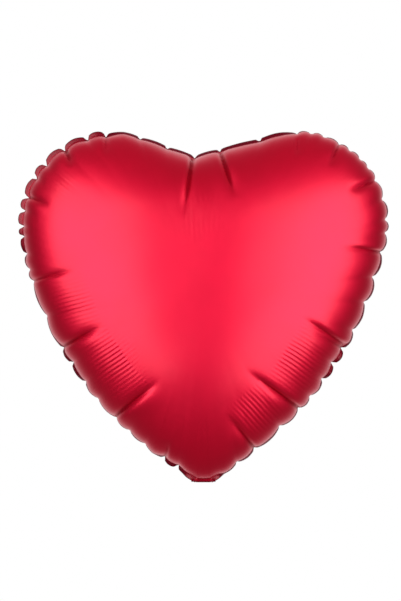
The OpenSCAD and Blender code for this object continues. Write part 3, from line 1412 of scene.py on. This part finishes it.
@dataclass(frozen=True)
class Softbox:
    """A rectangular light that faces the middle of the heart."""

    name: str
    azimuth: float
    elevation: float
    distance: float
    width: float
    height: float
    radiance: float

    def place(self, target: Vector) -> bpy.types.Object:
        """Adds the light, where azimuth 0 is in front of the heart and 90 is to its right.

        Args:
            target: The point that it faces.

        Returns:
            The light.
        """
        turn, rise = math.radians(self.azimuth), math.radians(self.elevation)
        way = Vector((
            math.sin(turn) * math.cos(rise), -math.cos(turn) * math.cos(rise), math.sin(rise)
        ))
        lamp = bpy.data.lights.new(self.name, "AREA")
        lamp.shape = "RECTANGLE"
        lamp.size = self.width
        lamp.size_y = self.height
        lamp.energy = self.radiance * self.width * self.height * math.pi
        light = bpy.data.objects.new(self.name, lamp)
        light.location = target + way * self.distance
        light.rotation_euler = way.to_track_quat("Z", "Y").to_euler()
        light.visible_camera = False
        bpy.context.scene.collection.objects.link(light)
        return light


@dataclass
class Studio:
    """The floor, the lights, the white surroundings and the camera."""

    target: Vector
    floor_z: float = -0.45
    floor_radius: float = 14.0
    floor_sides: int = 96
    camera_x: float = -0.003
    camera_z: float = 0.185
    distance: float = 2.5
    view_height: float = 0.619
    sensor: float = 36.0
    front: float = 0.13
    backdrop: float = 0.78
    backdrop_from: float = 0.45
    rise_from: float = 0.1
    overhead: float = 0.26
    underneath: float = 0.12
    bounce: tuple[float, float, float, float] = (1.0, 0.25, 0.45, 1.0)
    lights: Sequence[Softbox] = (
        Softbox("left_light", -42, 6, 2.0, 2.3, 2.9, 2.0),
        Softbox("right_light", 44, 2, 2.0, 2.3, 2.9, 2.15),
    )

    def build(self) -> None:
        """Sets everything up."""
        self.lay_floor()
        for light in self.lights:
            light.place(self.target)
        self.surround()
        self.aim_camera()
        bpy.context.scene.view_settings.view_transform = "Standard"

    def lay_floor(self) -> None:
        """Lays a round floor below the object."""
        bpy.ops.object.select_all(action="DESELECT")
        bpy.ops.mesh.primitive_circle_add(
            vertices=self.floor_sides, radius=self.floor_radius, fill_type="NGON",
            location=(0, 0, self.floor_z),
        )
        floor = bpy.context.object
        floor.name = "floor"
        floor.visible_glossy = False
        floor.visible_shadow = False
        dress(floor, FloorFinish().made())
        floor.select_set(False)
        floor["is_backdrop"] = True

    def surround(self) -> None:
        """Makes the surroundings white to look at, and dim and warm in reflections."""
        world = bpy.data.worlds.new("studio")
        bpy.context.scene.world = world
        world.use_nodes = True
        graph = Graph(world.node_tree)
        way = graph.node("ShaderNodeTexCoord", {}, {}).outputs["Generated"]
        split = graph.node("ShaderNodeSeparateXYZ", {}, {"Vector": way})
        rise, behind = Value(graph, split.outputs["Z"]), Value(graph, split.outputs["Y"])
        backdrop = behind.eased(self.backdrop_from, 1.0)
        strength = (
            self.front
            + backdrop * (self.backdrop - self.front)
            + rise.eased(self.rise_from, 1.0) * self.overhead
            + (rise * -1.0).eased(self.rise_from, 1.0) * self.underneath
        )
        path = graph.node("ShaderNodeLightPath", {}, {}).outputs
        seen, spread = Value(graph, path["Is Camera Ray"]), Value(graph, path["Is Diffuse Ray"])
        total = strength * (1 - seen) + seen
        colour = graph.mixed(backdrop + seen + spread, self.bounce, (1, 1, 1, 1))
        back = graph.node("ShaderNodeBackground", {}, {"Color": colour, "Strength": total})
        graph.node("ShaderNodeOutputWorld", {}, {"Surface": back.outputs[0]})

    def aim_camera(self) -> None:
        """Puts the camera straight in front."""
        lens = bpy.data.cameras.new("camera")
        lens.sensor_width = self.sensor
        lens.lens = lens.sensor_width * self.distance / self.view_height
        camera = bpy.data.objects.new("camera", lens)
        camera.location = (self.camera_x, -self.distance, self.camera_z)
        camera.rotation_euler = (math.pi / 2, 0.0, 0.0)
        bpy.context.scene.collection.objects.link(camera)
        bpy.context.scene.camera = camera


# ---------------------------------------------------------------- the balloon


@dataclass
class Balloon:
    """The whole balloon: the heart's two films, the folded tail and the valve in its neck."""

    seal_width: float = 0.005
    depth: float = 0.0823
    crown_height: float = 0.19
    flat: tuple[float, float] = (0.46, 0.44)
    digits: int = 5
    touching: float = 1e-5
    behind_fold: float = -1e-6
    rear_seed: int = 21
    rear_turn: float = 0.22
    rear_reach: tuple[float, float] = (0.75, 1.2)
    rear_depth: tuple[float, float] = (0.7, 1.15)

    def outline(self) -> Outline:
        """The cut edge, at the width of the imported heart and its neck.

        Returns:
            The outline.
        """
        low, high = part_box("front_panel")
        neck_low, neck_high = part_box("tail_rear_ply")
        return Outline(width=high[0] - low[0], neck_width=neck_high[0] - neck_low[0])

    def front_creases(self) -> list[Crease]:
        """The front film's creases, from the rim inwards.

        Returns:
            The creases, once round from the neck.
        """
        return [
            Crease((0.050, 0.037), (0.026, 0.067), 0.0038),
            Crease((0.093, 0.0785), (0.047, 0.112), 0.0046),
            Crease((0.141, 0.142), (0.1025, 0.166), 0.0042),
            Crease((0.139, 0.138), (0.110, 0.1535), 0.0016, 0.003),
            Crease((0.179, 0.235), (0.142, 0.239), 0.0036, 0.0034),
            Crease((0.1705, 0.3055), (0.148, 0.297), 0.0036, 0.0036),
            Crease((0.138, 0.343), (0.128, 0.323), 0.0034, 0.0036),
            Crease((0.0956, 0.348), (0.094, 0.332), 0.0026, 0.0034),
            Crease((0.019, 0.331), (0.031, 0.292), 0.0060, 0.0042, 1.2),
            Crease((-0.0124, 0.3255), (-0.019, 0.274), 0.0060, 0.0040, 1.2),
            Crease((-0.1006, 0.349), (-0.099, 0.333), 0.0026, 0.0034),
            Crease((-0.142, 0.339), (-0.135, 0.322), 0.0036, 0.0036),
            Crease((-0.179, 0.291), (-0.158, 0.282), 0.0034, 0.0034),
            Crease((-0.168, 0.2065), (-0.133, 0.215), 0.0036, 0.0034),
            Crease((-0.1385, 0.140), (-0.104, 0.158), 0.0044, 0.0042),
            Crease((-0.084, 0.071), (-0.047, 0.102), 0.0048, 0.0042),
            Crease((-0.039, 0.025), (-0.035, 0.042), 0.0024),
        ]

    def front_ripples(self) -> list[Ripples]:
        """The patches of fine ripples behind the front film's longest creases.

        Returns:
            The patches.
        """
        return [
            Ripples((-0.092, 0.121), (0.80, 0.60), 0.028, 0.034, height=0.00028),
            Ripples((-0.130, 0.182), (0.95, 0.30), 0.023, 0.024, height=0.00022),
            Ripples((0.104, 0.122), (-0.84, 0.54), 0.028, 0.032, height=0.00028),
            Ripples((0.055, 0.070), (-0.70, 0.71), 0.024, 0.024, height=0.00026),
            Ripples((-0.152, 0.303), (0.8, -0.60), 0.018, 0.024, height=0.00020),
            Ripples((0.148, 0.318), (-0.7, -0.7), 0.014, 0.016, height=0.00012),
            Ripples((0.004, 0.270), (0.05, -1.0), 0.018, 0.020, 0.005, 0.00020),
        ]

    def rear_creases(self, rim_creases: Sequence[Crease]) -> list[Crease]:
        """The rear film's creases, at the same notches but not alike.

        Args:
            rim_creases: The front film's creases.

        Returns:
            The rear film's creases.
        """
        draw = np.random.default_rng(self.rear_seed)
        found = []
        for crease in rim_creases:
            rim, tip = Vector(crease.rim), Vector(crease.tip)
            turn = draw.uniform(-self.rear_turn, self.rear_turn)
            run = tip - rim
            run = Vector((
                run.x * math.cos(turn) - run.y * math.sin(turn),
                run.x * math.sin(turn) + run.y * math.cos(turn),
            )) * draw.uniform(*self.rear_reach)
            found.append(Crease(
                tuple(rim), tuple(rim + run), crease.depth * draw.uniform(*self.rear_depth),
                crease.spread, 1.0 / crease.lean if draw.random() < 0.5 else crease.lean,
            ))
        return found

    def rear_ripples(self) -> list[Ripples]:
        """The patches of fine ripples on the rear film.

        Returns:
            The patches.
        """
        return [
            Ripples((0.095, 0.116), (-0.75, 0.6), height=0.0002),
            Ripples((-0.098, 0.120), (0.8, 0.6), height=0.0002),
            Ripples((0.124, 0.186), (-0.9, 0.3), height=0.0001),
        ]

    def rim(self, outline: Outline, creases: Sequence[Crease]) -> Rim:
        """The sealed rim, with gathers that differ from stretch to stretch.

        Args:
            outline: The cut edge.
            creases: The front film's creases, at which both films are notched.

        Returns:
            The rim.
        """
        around = 2 * along(outline.right_half())[-1] + outline.neck_width
        right = [
            Stretch(0.0125, 0.060, 0.024, 0.0034, 0.85),
            Stretch(0.060, 0.152, 0.026, 0.0042, 0.95),
            Stretch(0.152, 0.200, 0.021, 0.0040, 0.35),
            Stretch(0.200, 0.290, 0.026, 0.0048, 0.8),
            Stretch(0.290, 0.365, 0.019, 0.0044, 0.95),
            Stretch(0.365, 0.480, 0.0140, 0.0030, 1.0),
            Stretch(0.480, 0.590, 0.034, 0.0016, 0.5),
        ]
        left = [
            Stretch(0.0, 0.060, 0.022, 0.0034, 0.4),
            Stretch(0.060, 0.170, 0.023, 0.0032, 1.0),
            Stretch(0.170, 0.212, 0.021, 0.0034, 0.5),
            Stretch(0.212, 0.310, 0.034, 0.0034, 0.95),
            Stretch(0.310, 0.345, 0.014, 0.0034, 0.3),
            Stretch(0.345, 0.520, 0.023, 0.0042, 0.0),
            Stretch(0.520, 0.590, 0.034, 0.0016, 0.6),
        ]
        left = [Stretch(around - p.end, around - p.start, p.pitch, p.depth, p.tuck) for p in left]
        return Rim(outline, self.seal_width, creases, right + left[::-1])

    def middle_of_tail(self) -> Array:
        """The tail's middle line behind the fold, where its two packed plies meet.

        Returns:
            Its points, as [y, z].
        """
        seams = []
        for node in ("tail_front_ply", "tail_rear_ply"):
            points = frame["nodes"][node].data.vertices
            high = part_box(node)[1]
            seams.append({
                (round(p.co.y, self.digits), round(p.co.z, self.digits))
                for p in points
                if abs(p.co.x - high[0]) < self.touching and p.co.y > self.behind_fold
            })
        return np.array(sorted(seams[0] & seams[1]))

    def build(self) -> None:
        """Builds and dresses every piece, hangs the heart's films on the heart, and hides the imported
        parts it rebuilds.
        """
        foil, clear = FoilFinish().made(), ClearFilmFinish().made()
        creases = self.front_creases()
        rim = self.rim(self.outline(), creases)
        tail = self.tail()
        membrane = Membrane(rim.seal, np.array([0.0, self.crown_height]))
        panels = {
            "front_panel": FoilPanel(
                "front_foil", Side.FRONT, rim, membrane, self.depth, creases, self.front_ripples()
            ),
            "rear_panel": FoilPanel(
                "rear_foil", Side.REAR, rim, membrane, self.depth,
                self.rear_creases(creases), self.rear_ripples(), tail.lane(), seed=5,
            ),
        }
        for node, panel in panels.items():
            film = panel.build()
            dress(film, foil)
            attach(film, "heart")
            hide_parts(node)
            log.info("%s: %d faces", film.name, len(film.data.polygons))
        self.build_tail(tail, foil)
        for name, node in frame["nodes"].items():
            if name.startswith("valve_"):
                dress(node, clear)
                log.info("%s: dressed", name)

    def tail(self) -> Tail:
        """The tail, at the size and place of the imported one.

        Returns:
            The tail, not yet built.
        """
        low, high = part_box("tail_rear_ply")
        hole = next(m for m in frame["record"]["mounts"] if m["name"] == "inflation_hole")
        return Tail(
            high[0] - low[0], self.middle_of_tail(),
            Vector(hole["pos_m"]), Vector(hole["axis"]).normalized(), hole["dims"]["r_mm"] / MM_IN_A_METRE,
        )

    def build_tail(self, tail: Tail, foil: bpy.types.Material) -> None:
        """Builds the tail's two plies, which bend at the fold.

        Args:
            tail: The tail's sizes.
            foil: The foil's material.
        """
        plies = {"tail_front_ply": ("tail_foil_front", True), "tail_rear_ply": ("tail_foil_rear", False)}
        for node, (name, outer) in plies.items():
            ply = tail.build_ply(name, outer)
            dress(ply, foil)
            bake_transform(ply)
            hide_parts(node)
            log.info("%s: %d faces", ply.name, len(ply.data.polygons))


def main() -> None:
    """Builds the studio and the balloon, and reports each piece."""
    logging.basicConfig(level=logging.INFO, format="%(message)s")
    low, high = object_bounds()
    middle = (Vector(low) + Vector(high)) / 2
    Studio(Vector((0.0, 0.0, middle.z))).build()
    Balloon().build()


if __name__ == "__main__":
    main()
